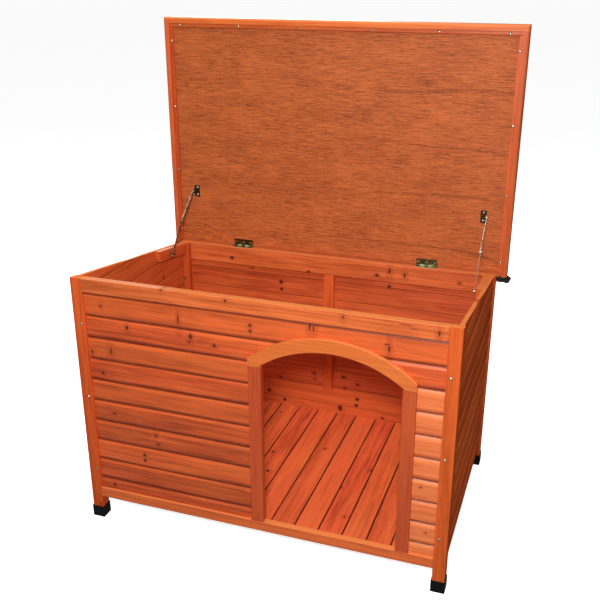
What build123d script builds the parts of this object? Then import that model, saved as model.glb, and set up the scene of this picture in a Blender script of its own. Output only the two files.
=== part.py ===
"""Flat-roofed wooden dog kennel whose hinged lid stands open on two folding stays.

Millimetres. X runs from the kennel's left side to its right side, seen from the door, Y runs from
the door wall to the back wall, and Z is up. The origin is on the ground, under the middle of the
whole kennel with its lid open.
"""
import os
from math import atan2, cos, degrees, hypot, radians, sin

from build123d import *

# Cabinet
BODY_WIDTH = 1090
BODY_DEPTH = 706
FRONT_HEIGHT = 788
BACK_HEIGHT = 682
ARCH_PROUD = 3
LID_BEHIND_BODY = 26
FRONT = -(BODY_DEPTH + LID_BEHIND_BODY - ARCH_PROUD) / 2
BACK = FRONT + BODY_DEPTH
HALF_WIDTH = BODY_WIDTH / 2
EASE = 1.5
SIDES = {"left": -1, "right": 1}

# Legs and foot caps
LEG_WIDTH = 35
LEG_DEPTH = 34
CAP_HEIGHT = 37
CAP_FLOOR = 3
CAP_WALL = 2.2
CAP_FIT = 0.2
CAP_CHAMFER = 1.2

# Rails, sill and door
BETWEEN_LEGS = HALF_WIDTH - LEG_WIDTH
TOP_RAIL_UNDERSIDE = 748
BACK_RAIL_UNDERSIDE = 626
BACK_RAIL_DEPTH = 33
SILL_BOTTOM = 75.5
SILL_TOP = 107
FRAME_DEPTH = 20
DOOR_X = 212
DOOR_WIDTH = 384
JAMB_WIDTH = 37
JAMB_TOP = 600
JAMB_TENON = 7
ARCH_DEPTH = 10.7
ARCH_OUTER_RADIUS = 352
ARCH_OUTER_TOP = 707.5
ARCH_INNER_RADIUS = 318
ARCH_INNER_TOP = 670
ARCH_COVER = 3.5
ARCH_SAW_CUT = 4

# Log-profile boards
BOARD_THICKNESS = 12
BOARD_RELIEF = 6
BOARD_SHOULDER = 15
BOARD_PITCH = 66.8
BOARD_GAP = 0.4
TONGUE_THICKNESS = 2.4
TONGUE_HEIGHT = 4
TONGUE_PLAY = 0.4
TONGUE_TO_BACK = 2
FRONT_JOINT = 139.4
BACK_JOINT = 133.2
SIDE_BOARD_SETBACK = 4

# Battens, cleats and floor
BATTEN_WIDTH = 24
BATTEN_DEPTH = 20
CLEAT_WIDTH = 18
CLEAT_HEIGHT = 35
CLEAT_LENGTH = 192
STILE_WIDTH = 35
STILE_DEPTH = 15
STILE_BOTTOM = 200
BACK_BOARD_INSET = 18
FLOOR_TOP = 102
FLOOR_THICKNESS = 12
FLOOR_BOARDS = 15
FLOOR_PITCH = 70.5
FLOOR_GAP = 3
FLOOR_PLAY = 1.5
FLOOR_CHAMFER = 0.8
BEARER_WIDTH = 35
LEDGER_WIDTH = 20

# Corner bolts
BOLT_RADIUS = 2.5
BOLT_PLAY = 0.2
BOLT_HEAD_RADIUS = 4.5
BOLT_HEAD_HEIGHT = 2.6
BOLT_FROM_SIDE = 23
NUT_HEIGHT = 4
NUT_CORNER_RADIUS = 4.6
FRONT_BOLT_HEIGHTS = (173, 419, 651)
BACK_BOLT_HEIGHTS = (173, 366, 560)

# Lid, with distances up from the hinge axis and inwards from the lining
HINGE_FROM_BACK = 2.5
HINGE_HEIGHT = 684.6
LINING_BEHIND_HINGE = 1.5
LID_OVERHANG = 31
FASCIA_THICKNESS = 18
FASCIA_ROUNDING = 7
FASCIA_INWARD = 14
FASCIA_LOWER_END = -7
LID_LENGTH = 749.5
LINING_THICKNESS = 6
LINING_START = 4
DECK_THICKNESS = 14
FELT_THICKNESS = 2
REAR_RAIL_HEIGHT = 19
LID_BATTEN_THICKNESS = 8
SIDE_BATTEN_WIDTH = 10
FRONT_BATTEN_WIDTH = 12
FRONT_BATTEN_SCREWS = (117, 318, 521)
SIDE_BATTEN_SCREWS = (40, 252, 464, 676)

# Hinges
HINGE_FROM_CENTRE = 320
LEAF_WIDTH = 68
LEAF_LENGTH = 22
LEAF_THICKNESS = 1.2
KNUCKLES = 5
KNUCKLE_RADIUS = 2.8
KNUCKLE_GAP = 0.3
PIN_RADIUS = 1.2
PIN_PLAY = 0.05
LEAF_SCREW_SPACING = 26.6
LEAF_SCREW_FROM_PIN = 12.5
COUNTERSINK_ANGLE = 90

# Folding stays, with pivots as (distance behind the front, height)
STAY_LOWER_PIVOT = (525.5, 685.5)
STAY_ELBOW = (602.5, 783.7)
STAY_UPPER_PIVOT = (701.5, 864.5)
ARM_WIDTH = 12
ARM_THICKNESS = 1.5
LOWER_ARM_FROM_SIDE = 43
UPPER_ARM_FROM_SIDE = 45
BRACKET_THICKNESS = 1.5
EAR_RADIUS = 7
EAR_PLAY = 0.4
FOOT_LENGTH = 28
FOOT_BEND = 12
FOOT_SCREWS = (8, 20)
UPPER_FOOT_WIDTH = 19
UPPER_FOOT_LENGTH = 40
UPPER_FOOT_SCREW_IN = 10.5
UPPER_FOOT_SCREW_SPACING = 26
RIVET_RADIUS = 2.5
RIVET_PLAY = 0.1
RIVET_HEAD_RADIUS = 4.5
RIVET_HEAD_HEIGHT = 1.3

# Wood screws
SCREW_RADIUS = 1.6
SCREW_REACH = 14
SCREW_PLAY = 0.1
SCREW_HEAD_RADIUS = 3.6
SCREW_HEAD_HEIGHT = 1.4
COUNTERSUNK_RADIUS = 2.8

roof_slope = (FRONT_HEIGHT - BACK_HEIGHT) / BODY_DEPTH
roof_plane = Plane(origin=(0, FRONT, FRONT_HEIGHT), x_dir=(1, 0, 0), z_dir=(0, roof_slope, 1))
hinge_y = BACK + HINGE_FROM_BACK
lining_y = hinge_y + LINING_BEHIND_HINGE
lid_plane = Plane(origin=(0, lining_y, HINGE_HEIGHT), x_dir=(1, 0, 0), z_dir=(0, -1, 0))
screw_hole_radius = SCREW_RADIUS + SCREW_PLAY


def save(piece, name):
    """Label a finished piece and write it to its own file."""
    piece.part.label = name
    export_step(piece.part, f"parts/{name}.step")


def roof_height(y):
    """Height of the sloping rim at y."""
    return FRONT_HEIGHT - roof_slope * (y - FRONT)


def inboard(sign, distance):
    """X of a place that is some distance in from the left (-1) or right (1) side."""
    return sign * (HALF_WIDTH - distance)


def rectangle(x_limits, y_limits, mode=Mode.ADD):
    """Rectangle in the current sketch, between two limits each way."""
    with Locations((sum(x_limits) / 2, sum(y_limits) / 2)):
        Rectangle(abs(x_limits[1] - x_limits[0]), abs(y_limits[1] - y_limits[0]), mode=mode)


def block(x_limits, y_limits, z_limits, eased_along=None, ease=EASE):
    """Squared timber between three pairs of limits, with the edges along one axis eased."""
    with BuildPart() as timber:
        with BuildSketch(Plane.XY.offset(z_limits[0])):
            rectangle(x_limits, y_limits)
        extrude(amount=z_limits[1] - z_limits[0])
        if eased_along:
            fillet(timber.edges().filter_by(eased_along), ease)
    return timber


def log_board(back, outward, bottom, top):
    """Sketch of one tongue-and-groove board: flat back, round-shouldered face, tongue on top."""
    low = bottom + BOARD_GAP / 2
    high = top - BOARD_GAP / 2
    crest = back + outward * BOARD_THICKNESS
    valley = crest - outward * BOARD_RELIEF
    face_low = low + BOARD_SHOULDER
    face_high = high - BOARD_SHOULDER
    tongue_back = back + outward * TONGUE_TO_BACK
    tongue_front = tongue_back + outward * TONGUE_THICKNESS
    groove_back = tongue_back - outward * TONGUE_PLAY
    groove_front = tongue_front + outward * TONGUE_PLAY
    groove_top = low + TONGUE_HEIGHT + TONGUE_PLAY
    with BuildLine() as outline:
        TangentArc((crest, face_low), (valley, low), tangent=(0, -1))
        Line((crest, face_low), (crest, face_high))
        TangentArc((crest, face_high), (valley, high), tangent=(0, 1))
        Polyline(
            (valley, high),
            (tongue_front, high),
            (tongue_front, high + TONGUE_HEIGHT),
            (tongue_back, high + TONGUE_HEIGHT),
            (tongue_back, high),
            (back, high),
            (back, low),
            (groove_back, low),
            (groove_back, groove_top),
            (groove_front, groove_top),
            (groove_front, low),
            (valley, low),
        )
    make_face(outline.edges())


def drill(plane, centres, radius, depth):
    """Bore round holes into the current part, from a plane towards its back."""
    with BuildSketch(plane) as holes:
        with Locations(*centres):
            Circle(radius)
    extrude(holes.sketch, amount=-depth, mode=Mode.SUBTRACT)


def headed_pin(radius, length, head_radius, head_height):
    """Round shank that runs down from the origin, under a domed head."""
    dome_radius = (head_radius**2 + head_height**2) / (2 * head_height)
    rise = dome_radius - head_height
    shoulder = atan2(rise, head_radius)
    halfway = (shoulder + radians(90)) / 2
    crown = (dome_radius * cos(halfway), dome_radius * sin(halfway) - rise)
    with BuildPart() as pin:
        with BuildSketch(Plane.XZ):
            with BuildLine():
                ThreePointArc((0, head_height), crown, (head_radius, 0))
                Polyline((head_radius, 0), (radius, 0), (radius, -length), (0, -length), (0, head_height))
            make_face()
        revolve(axis=Axis.Z)
    return pin


def countersunk_screw(length):
    """Flat-headed screw that runs down from the origin."""
    slope = COUNTERSUNK_RADIUS - SCREW_RADIUS
    with BuildPart() as screw:
        with BuildSketch(Plane.XZ):
            with BuildLine():
                Polyline(
                    (0, 0),
                    (COUNTERSUNK_RADIUS, 0),
                    (SCREW_RADIUS, -slope),
                    (SCREW_RADIUS, -length),
                    (0, -length),
                    close=True,
                )
            make_face()
        revolve(axis=Axis.Z)
    return screw


def copies(piece, places):
    """The same piece set down at several places, as separate solids of one part."""
    with BuildPart() as group:
        with Locations(*places):
            add(piece.part)
    return group


os.makedirs("parts", exist_ok=True)

# ---- Legs, foot caps and corner battens ----

leg_ends = {
    "front": (FRONT, 1, FRONT_BOLT_HEIGHTS),
    "back": (BACK, -1, BACK_BOLT_HEIGHTS),
}
batten_from_side = BOARD_THICKNESS + SIDE_BOARD_SETBACK
bolt_places = []
nut_places = []
for end, (face_y, inwards, bolt_heights) in leg_ends.items():
    leg_y = (face_y, face_y + inwards * LEG_DEPTH)
    batten_y = (leg_y[1], leg_y[1] + inwards * BATTEN_DEPTH)
    # The plane looks out of the face of the leg, so that holes run into the kennel.
    face_plane = Plane(origin=(0, face_y, 0), x_dir=(inwards, 0, 0), z_dir=(0, -inwards, 0))
    for side, sign in SIDES.items():
        leg_x = (inboard(sign, 0), inboard(sign, LEG_WIDTH))
        bolt_x = inboard(sign, BOLT_FROM_SIDE)
        holes = [(inwards * bolt_x, height) for height in bolt_heights]

        with BuildPart() as leg:
            with BuildSketch(Plane.XY.offset(CAP_FLOOR)):
                rectangle(leg_x, leg_y)
            extrude(amount=FRONT_HEIGHT)
            split(bisect_by=roof_plane, keep=Keep.BOTTOM)
            fillet(leg.edges().filter_by(Axis.Z), EASE)
            drill(face_plane, holes, BOLT_RADIUS + BOLT_PLAY, LEG_DEPTH)
        save(leg, f"leg_{end}_{side}")

        with BuildPart() as foot_cap:
            with BuildSketch():
                with Locations((sum(leg_x) / 2, sum(leg_y) / 2)):
                    wall = 2 * (CAP_FIT + CAP_WALL)
                    RectangleRounded(LEG_WIDTH + wall, LEG_DEPTH + wall, CAP_WALL)
            extrude(amount=CAP_HEIGHT)
            with BuildSketch(Plane.XY.offset(CAP_FLOOR)):
                with Locations((sum(leg_x) / 2, sum(leg_y) / 2)):
                    Rectangle(LEG_WIDTH + 2 * CAP_FIT, LEG_DEPTH + 2 * CAP_FIT)
            extrude(amount=CAP_HEIGHT, mode=Mode.SUBTRACT)
            chamfer(foot_cap.faces().sort_by(Axis.Z)[0].edges(), CAP_CHAMFER)
        save(foot_cap, f"foot_cap_{end}_{side}")

        with BuildPart() as corner_batten:
            with BuildSketch(Plane.XY.offset(SILL_BOTTOM)):
                rectangle(
                    (inboard(sign, batten_from_side), inboard(sign, batten_from_side + BATTEN_WIDTH)),
                    batten_y,
                )
            extrude(amount=FRONT_HEIGHT - SILL_BOTTOM)
            if end == "front":
                split(bisect_by=Plane.XY.offset(TOP_RAIL_UNDERSIDE), keep=Keep.BOTTOM)
            else:
                split(bisect_by=roof_plane, keep=Keep.BOTTOM)
            fillet(corner_batten.edges().filter_by(Axis.Z), EASE)
            drill(face_plane, holes, BOLT_RADIUS + BOLT_PLAY, LEG_DEPTH + BATTEN_DEPTH)
        save(corner_batten, f"corner_batten_{end}_{side}")

        for height in bolt_heights:
            bolt_places.append(Location((bolt_x, face_y, height), (inwards * 90, 0, 0)))
            nut_places.append(Location((bolt_x, batten_y[1], height), (-inwards * 90, 0, 0)))

bolt_length = LEG_DEPTH + BATTEN_DEPTH + NUT_HEIGHT
bolt = headed_pin(BOLT_RADIUS, bolt_length, BOLT_HEAD_RADIUS, BOLT_HEAD_HEIGHT)
save(copies(bolt, bolt_places), "corner_bolts")

with BuildPart() as nut:
    with BuildSketch():
        RegularPolygon(NUT_CORNER_RADIUS, 6)
        Circle(BOLT_RADIUS + PIN_PLAY, mode=Mode.SUBTRACT)
    extrude(amount=NUT_HEIGHT)
save(copies(nut, nut_places), "corner_bolt_nuts")

# ---- Front wall ----

board_back = FRONT + FRAME_DEPTH

with BuildPart() as front_top_rail:
    with BuildSketch(Plane.YZ.offset(-BETWEEN_LEGS)):
        with BuildLine():
            Polyline(
                (FRONT, TOP_RAIL_UNDERSIDE),
                (FRONT + LEG_DEPTH, TOP_RAIL_UNDERSIDE),
                (FRONT + LEG_DEPTH, roof_height(FRONT + LEG_DEPTH)),
                (FRONT, FRONT_HEIGHT),
                close=True,
            )
        make_face()
    extrude(amount=2 * BETWEEN_LEGS)
    fillet(front_top_rail.edges().filter_by(Axis.X), EASE)
save(front_top_rail, "front_top_rail")

between_legs = (-BETWEEN_LEGS, BETWEEN_LEGS)
front_sill = block(between_legs, (FRONT, board_back), (SILL_BOTTOM, SILL_TOP), Axis.X)
save(front_sill, "front_sill")

jamb_x = {}
for side, sign in SIDES.items():
    inner_x = DOOR_X + sign * DOOR_WIDTH / 2
    outer_x = inner_x + sign * JAMB_WIDTH
    jamb_x[side] = outer_x
    with BuildPart() as door_jamb:
        with BuildSketch(Plane.XY.offset(SILL_TOP)):
            rectangle((inner_x, outer_x), (FRONT, board_back))
        extrude(amount=JAMB_TOP - SILL_TOP)
        front_edges = door_jamb.edges().filter_by(Axis.Z).sort_by(Axis.Y)[:2]
        fillet(front_edges, 2 * EASE)
        with BuildSketch(Plane.XY.offset(JAMB_TOP)):
            rectangle((inner_x, outer_x), (board_back - BOARD_THICKNESS, board_back))
        extrude(amount=JAMB_TENON)
    save(door_jamb, f"door_jamb_{side}")

arch_half = DOOR_WIDTH / 2 + JAMB_WIDTH
arch_front = Plane.XZ.offset(-(FRONT - ARCH_PROUD))
with BuildPart() as door_arch:
    with BuildSketch(arch_front):
        with Locations((DOOR_X, ARCH_OUTER_TOP - ARCH_OUTER_RADIUS)):
            Circle(ARCH_OUTER_RADIUS)
        rectangle((DOOR_X - arch_half, DOOR_X + arch_half), (JAMB_TOP, ARCH_OUTER_TOP), Mode.INTERSECT)
        with Locations((DOOR_X, ARCH_INNER_TOP - ARCH_INNER_RADIUS)):
            Circle(ARCH_INNER_RADIUS, mode=Mode.SUBTRACT)
    extrude(amount=-ARCH_DEPTH)
    fillet(door_arch.faces().sort_by(Axis.Y)[0].edges(), EASE)
save(door_arch, "door_arch")

board_rows = [FRONT_JOINT + BOARD_PITCH * row for row in range(-1, 11)]
jamb_row = board_rows.index(FRONT_JOINT + BOARD_PITCH * 7)
rows_beside_door = list(zip(board_rows[:jamb_row], board_rows[1:]))

with BuildPart() as front_board_top:
    with BuildSketch(Plane.YZ.offset(-BETWEEN_LEGS)):
        log_board(board_back, -1, board_rows[jamb_row + 1], TOP_RAIL_UNDERSIDE)
    extrude(amount=2 * BETWEEN_LEGS)
    split(bisect_by=Plane.XY.offset(TOP_RAIL_UNDERSIDE), keep=Keep.BOTTOM)
save(front_board_top, "front_board_top")

with BuildPart() as front_boards_beside_arch:
    with BuildSketch(Plane.YZ.offset(-BETWEEN_LEGS)):
        log_board(board_back, -1, board_rows[jamb_row], board_rows[jamb_row + 1])
    extrude(amount=2 * BETWEEN_LEGS)
    with BuildSketch(arch_front):
        with Locations((DOOR_X, ARCH_INNER_TOP - ARCH_INNER_RADIUS)):
            Circle(ARCH_INNER_RADIUS + ARCH_COVER)
        # The cut behind the arch's crown parts the board, which would be a sliver there.
        cut_x = (DOOR_X - ARCH_SAW_CUT / 2, DOOR_X + ARCH_SAW_CUT / 2)
        rectangle(cut_x, (ARCH_INNER_TOP, TOP_RAIL_UNDERSIDE))
    extrude(amount=-(ARCH_PROUD + FRAME_DEPTH), mode=Mode.SUBTRACT)
save(front_boards_beside_arch, "front_boards_beside_arch")

for side, sign in SIDES.items():
    wall_end = sign * BETWEEN_LEGS
    with BuildPart() as front_boards:
        with BuildSketch(Plane.YZ.offset(min(wall_end, jamb_x[side]))):
            for bottom, top in rows_beside_door:
                log_board(board_back, -1, bottom, top)
        extrude(amount=abs(wall_end - jamb_x[side]))
        split(bisect_by=Plane.XY.offset(SILL_TOP), keep=Keep.TOP)
    save(front_boards, f"front_boards_{side}")

# ---- Side walls ----

for side, sign in SIDES.items():
    with BuildPart() as side_boards:
        with BuildSketch(Plane.XZ.offset(-(FRONT + LEG_DEPTH))):
            for bottom, top in zip(board_rows, board_rows[1:]):
                log_board(inboard(sign, batten_from_side), sign, bottom, top)
        extrude(amount=-(BODY_DEPTH - 2 * LEG_DEPTH))
        split(bisect_by=Plane.XY.offset(SILL_BOTTOM), keep=Keep.TOP)
        split(bisect_by=roof_plane, keep=Keep.BOTTOM)
    save(side_boards, f"side_boards_{side}")

    cleat_back = BACK - LEG_DEPTH - BATTEN_DEPTH
    cleat_front = cleat_back - CLEAT_LENGTH
    with BuildPart() as stay_cleat:
        with BuildSketch(Plane.YZ.offset(inboard(sign, batten_from_side))):
            with BuildLine():
                Polyline(
                    (cleat_front, roof_height(cleat_front) - CLEAT_HEIGHT),
                    (cleat_back, roof_height(cleat_back) - CLEAT_HEIGHT),
                    (cleat_back, roof_height(cleat_back)),
                    (cleat_front, roof_height(cleat_front)),
                    close=True,
                )
            make_face()
        extrude(amount=-sign * CLEAT_WIDTH)
        screw_y = [FRONT + STAY_LOWER_PIVOT[0] + FOOT_BEND + reach for reach in FOOT_SCREWS]
        screw_centres = [(y, STAY_LOWER_PIVOT[1]) for y in screw_y]
        with BuildSketch(Plane.YZ.offset(inboard(sign, batten_from_side + CLEAT_WIDTH))):
            with Locations(*screw_centres):
                Circle(screw_hole_radius)
        extrude(amount=sign * (SCREW_REACH + SCREW_PLAY), mode=Mode.SUBTRACT)
    save(stay_cleat, f"stay_cleat_{side}")

# ---- Back wall ----

back_board_back = BACK - BACK_BOARD_INSET
back_rail_front = BACK - BACK_RAIL_DEPTH
leaf_plane = Plane(
    origin=(0, hinge_y, roof_height(hinge_y)), x_dir=(1, 0, 0), z_dir=(0, roof_slope, 1)
)
leaf_screw_x = [
    sign * HINGE_FROM_CENTRE + step * LEAF_SCREW_SPACING for sign in (-1, 1) for step in (-1, 0, 1)
]
rail_leaf_screws = [(x, -LEAF_SCREW_FROM_PIN) for x in leaf_screw_x]
screw_hole_depth = SCREW_REACH + SCREW_PLAY

with BuildPart() as back_top_rail:
    with BuildSketch(Plane.YZ.offset(-BETWEEN_LEGS)):
        with BuildLine():
            Polyline(
                (back_rail_front, BACK_RAIL_UNDERSIDE),
                (BACK, BACK_RAIL_UNDERSIDE),
                (BACK, BACK_HEIGHT),
                (back_rail_front, roof_height(back_rail_front)),
                close=True,
            )
        make_face()
    extrude(amount=2 * BETWEEN_LEGS)
    fillet(back_top_rail.edges().filter_by(Axis.X), EASE)
    drill(leaf_plane, rail_leaf_screws, screw_hole_radius, screw_hole_depth)
save(back_top_rail, "back_top_rail")

back_rows = [BACK_JOINT + BOARD_PITCH * row for row in range(-1, 9)]
with BuildPart() as back_boards:
    with BuildSketch(Plane.YZ.offset(-BETWEEN_LEGS)):
        for bottom, top in zip(back_rows, back_rows[1:]):
            log_board(back_board_back, 1, bottom, top)
    extrude(amount=2 * BETWEEN_LEGS)
    split(bisect_by=Plane.XY.offset(SILL_BOTTOM), keep=Keep.TOP)
    split(bisect_by=Plane.XY.offset(BACK_RAIL_UNDERSIDE), keep=Keep.BOTTOM)
save(back_boards, "back_boards")

back_centre_stile = block(
    (-STILE_WIDTH / 2, STILE_WIDTH / 2),
    (back_board_back - STILE_DEPTH, back_board_back),
    (STILE_BOTTOM, BACK_RAIL_UNDERSIDE),
    Axis.Z,
)
save(back_centre_stile, "back_centre_stile")

# ---- Floor ----

floor_bottom = FLOOR_TOP - FLOOR_THICKNESS
floor_half = (FLOOR_BOARDS * FLOOR_PITCH - FLOOR_GAP) / 2
floor_y = (board_back + FLOOR_PLAY, back_board_back - FLOOR_PLAY)
post_from_side = batten_from_side + BATTEN_WIDTH + FLOOR_PLAY
post_depth = LEG_DEPTH + BATTEN_DEPTH + FLOOR_PLAY

with BuildPart() as floor_boards:
    with BuildSketch(Plane.XY.offset(floor_bottom)):
        for number in range(FLOOR_BOARDS):
            board_x = -floor_half + number * FLOOR_PITCH
            rectangle((board_x, board_x + FLOOR_PITCH - FLOOR_GAP), floor_y)
        for sign in SIDES.values():
            for face_y, inwards, _ in leg_ends.values():
                notch_y = (face_y, face_y + inwards * post_depth)
                rectangle((inboard(sign, 0), inboard(sign, post_from_side)), notch_y, Mode.SUBTRACT)
    extrude(amount=FLOOR_THICKNESS)
    top_edges = floor_boards.edges().filter_by(Axis.Y).group_by(Axis.Z)[-1]
    chamfer(top_edges, FLOOR_CHAMFER)
save(floor_boards, "floor_boards")

bearer_half = inboard(1, post_from_side)
last_bearer = back_board_back - BEARER_WIDTH
bearer_starts = (board_back, (board_back + last_bearer) / 2, last_bearer)
with BuildPart() as floor_bearers:
    with BuildSketch(Plane.XY.offset(SILL_BOTTOM)):
        for start in bearer_starts:
            rectangle((-bearer_half, bearer_half), (start, start + BEARER_WIDTH))
    extrude(amount=floor_bottom - SILL_BOTTOM)
save(floor_bearers, "floor_bearers")

ledger_y = (FRONT + post_depth, BACK - post_depth)
with BuildPart() as floor_ledgers:
    with BuildSketch(Plane.XY.offset(SILL_BOTTOM)):
        for sign in SIDES.values():
            ledger_x = (inboard(sign, batten_from_side), inboard(sign, batten_from_side + LEDGER_WIDTH))
            rectangle(ledger_x, ledger_y)
    extrude(amount=floor_bottom - SILL_BOTTOM)
save(floor_ledgers, "floor_ledgers")

# ---- Lid ----

lid_half = HALF_WIDTH + LID_OVERHANG
frame_half = lid_half - FASCIA_THICKNESS
fascia_y = (lining_y - FASCIA_INWARD, lining_y + LINING_THICKNESS + DECK_THICKNESS)
front_fascia_start = LID_LENGTH - FASCIA_THICKNESS
batten_front_y = lining_y - LID_BATTEN_THICKNESS
upper_bracket_from_side = UPPER_ARM_FROM_SIDE + ARM_THICKNESS + EAR_PLAY
upper_pivot_up = STAY_UPPER_PIVOT[1] - HINGE_HEIGHT
foot_screw_from_side = upper_bracket_from_side + UPPER_FOOT_SCREW_IN
leaf_screws = [(x, LEAF_SCREW_FROM_PIN) for x in leaf_screw_x]
foot_screws = [
    (inboard(sign, foot_screw_from_side), upper_pivot_up + step)
    for sign in SIDES.values()
    for step in (-UPPER_FOOT_SCREW_SPACING / 2, UPPER_FOOT_SCREW_SPACING / 2)
]
front_batten_screws = [
    (sign * x, front_fascia_start - FRONT_BATTEN_WIDTH / 2)
    for sign in SIDES.values()
    for x in FRONT_BATTEN_SCREWS
]
side_batten_screws = {
    sign: [(sign * (frame_half - SIDE_BATTEN_WIDTH / 2), up) for up in SIDE_BATTEN_SCREWS]
    for sign in SIDES.values()
}
batten_screws = front_batten_screws + side_batten_screws[-1] + side_batten_screws[1]
batten_screw_length = LID_BATTEN_THICKNESS + SCREW_REACH

with BuildPart() as lid_fascia_front:
    with BuildSketch(lid_plane.offset(FASCIA_INWARD)):
        rectangle((-lid_half, lid_half), (front_fascia_start, LID_LENGTH))
    extrude(amount=-(fascia_y[1] - fascia_y[0]))
    inner_face_edges = lid_fascia_front.faces().sort_by(Axis.Y)[0].edges()
    outer_edge = inner_face_edges.filter_by(Axis.X).sort_by(Axis.Z)[-1]
    fillet(inner_face_edges.filter_by(Axis.Z) + [outer_edge], FASCIA_ROUNDING)
save(lid_fascia_front, "lid_fascia_front")

for side, sign in SIDES.items():
    with BuildPart() as lid_fascia_side:
        with BuildSketch(lid_plane.offset(FASCIA_INWARD)):
            rectangle((sign * frame_half, sign * lid_half), (FASCIA_LOWER_END, front_fascia_start))
        extrude(amount=-(fascia_y[1] - fascia_y[0]))
        inner_face_edges = lid_fascia_side.faces().sort_by(Axis.Y)[0].edges()
        outer_edge = inner_face_edges.filter_by(Axis.Z).sort_by(Axis.X)[0 if sign < 0 else -1]
        fillet(outer_edge, FASCIA_ROUNDING)
    save(lid_fascia_side, f"lid_fascia_{side}")

    with BuildPart() as lid_batten_side:
        with BuildSketch(lid_plane):
            rectangle(
                (sign * (frame_half - SIDE_BATTEN_WIDTH), sign * frame_half),
                (LINING_START, front_fascia_start - FRONT_BATTEN_WIDTH),
            )
        extrude(amount=LID_BATTEN_THICKNESS)
        fillet(lid_batten_side.faces().sort_by(Axis.Y)[0].edges().filter_by(Axis.Z), EASE)
        batten_face = lid_plane.offset(LID_BATTEN_THICKNESS)
        drill(batten_face, side_batten_screws[sign], screw_hole_radius, LID_BATTEN_THICKNESS)
    save(lid_batten_side, f"lid_batten_{side}")

with BuildPart() as lid_batten_front:
    with BuildSketch(lid_plane):
        rectangle((-frame_half, frame_half), (front_fascia_start - FRONT_BATTEN_WIDTH, front_fascia_start))
    extrude(amount=LID_BATTEN_THICKNESS)
    fillet(lid_batten_front.faces().sort_by(Axis.Y)[0].edges().filter_by(Axis.X), EASE)
    batten_face = lid_plane.offset(LID_BATTEN_THICKNESS)
    drill(batten_face, front_batten_screws, screw_hole_radius, LID_BATTEN_THICKNESS)
save(lid_batten_front, "lid_batten_front")

with BuildPart() as lid_lining:
    with BuildSketch(lid_plane):
        rectangle((-frame_half, frame_half), (LINING_START, front_fascia_start))
    extrude(amount=-LINING_THICKNESS)
    drill(lid_plane, leaf_screws + foot_screws + batten_screws, screw_hole_radius, LINING_THICKNESS)
save(lid_lining, "lid_lining")

with BuildPart() as lid_deck:
    with BuildSketch(lid_plane.offset(-LINING_THICKNESS)):
        rectangle((-frame_half, frame_half), (FASCIA_LOWER_END, front_fascia_start))
    extrude(amount=-DECK_THICKNESS)
    deck_hole_depth = screw_hole_depth - LINING_THICKNESS
    deck_face = lid_plane.offset(-LINING_THICKNESS)
    drill(deck_face, leaf_screws + foot_screws + batten_screws, screw_hole_radius, deck_hole_depth)
save(lid_deck, "lid_deck")

rear_rail_top = HINGE_HEIGHT + FASCIA_LOWER_END
rear_rail_half = lid_half - FELT_THICKNESS
lid_rear_rail = block(
    (-rear_rail_half, rear_rail_half),
    (lining_y, fascia_y[1]),
    (rear_rail_top - REAR_RAIL_HEIGHT, rear_rail_top),
)
save(lid_rear_rail, "lid_rear_rail")

rear_rail_bottom = FASCIA_LOWER_END - REAR_RAIL_HEIGHT
with BuildPart() as lid_roofing_felt:
    with BuildSketch(lid_plane.offset(-(LINING_THICKNESS + DECK_THICKNESS))):
        rectangle((-lid_half, lid_half), (rear_rail_bottom - FELT_THICKNESS, LID_LENGTH))
    extrude(amount=-FELT_THICKNESS)
    with BuildSketch(lid_plane):
        rectangle((-lid_half, lid_half), (rear_rail_bottom - FELT_THICKNESS, FASCIA_LOWER_END))
        rectangle((-rear_rail_half, rear_rail_half), (rear_rail_bottom, FASCIA_LOWER_END), Mode.SUBTRACT)
    extrude(amount=-(LINING_THICKNESS + DECK_THICKNESS))
save(lid_roofing_felt, "lid_roofing_felt")

# ---- Hinges ----

knuckle_pitch = LEAF_WIDTH / KNUCKLES
lid_knuckles = [number for number in range(KNUCKLES) if number % 2 == 0]
rail_knuckles = [number for number in range(KNUCKLES) if number % 2 == 1]
leaf_notch = KNUCKLE_RADIUS + 2 * KNUCKLE_GAP


def hinge_leaf(plane, direction, own_knuckles):
    """One leaf of both hinges: plate beyond the knuckles, its own knuckles, and screw holes."""
    with BuildPart() as leaf:
        for sign in SIDES.values():
            start = sign * HINGE_FROM_CENTRE - LEAF_WIDTH / 2
            with BuildSketch(plane):
                rectangle((start, start + LEAF_WIDTH), (direction * leaf_notch, direction * LEAF_LENGTH))
                for number in own_knuckles:
                    left = start + number * knuckle_pitch + KNUCKLE_GAP / 2
                    rectangle((left, left + knuckle_pitch - KNUCKLE_GAP), (0, direction * leaf_notch))
            extrude(amount=LEAF_THICKNESS)
            for number in own_knuckles:
                left = start + number * knuckle_pitch + KNUCKLE_GAP / 2
                with BuildSketch(Plane.YZ.offset(left)):
                    with Locations((hinge_y, HINGE_HEIGHT)):
                        Circle(KNUCKLE_RADIUS)
                extrude(amount=knuckle_pitch - KNUCKLE_GAP)
            with BuildSketch(Plane.YZ.offset(start)):
                with Locations((hinge_y, HINGE_HEIGHT)):
                    Circle(PIN_RADIUS + PIN_PLAY)
            extrude(amount=LEAF_WIDTH, mode=Mode.SUBTRACT)
        screw_y = direction * LEAF_SCREW_FROM_PIN
        with Locations(plane):
            with Locations(*[Location((x, screw_y, LEAF_THICKNESS)) for x in leaf_screw_x]):
                head_hole_radius = COUNTERSUNK_RADIUS + SCREW_PLAY
                CounterSinkHole(screw_hole_radius, head_hole_radius, 2 * LEAF_THICKNESS, COUNTERSINK_ANGLE)
    return leaf


save(hinge_leaf(leaf_plane, -1, rail_knuckles), "hinge_rail_leaves")
save(hinge_leaf(lid_plane, 1, lid_knuckles), "hinge_lid_leaves")

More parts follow.
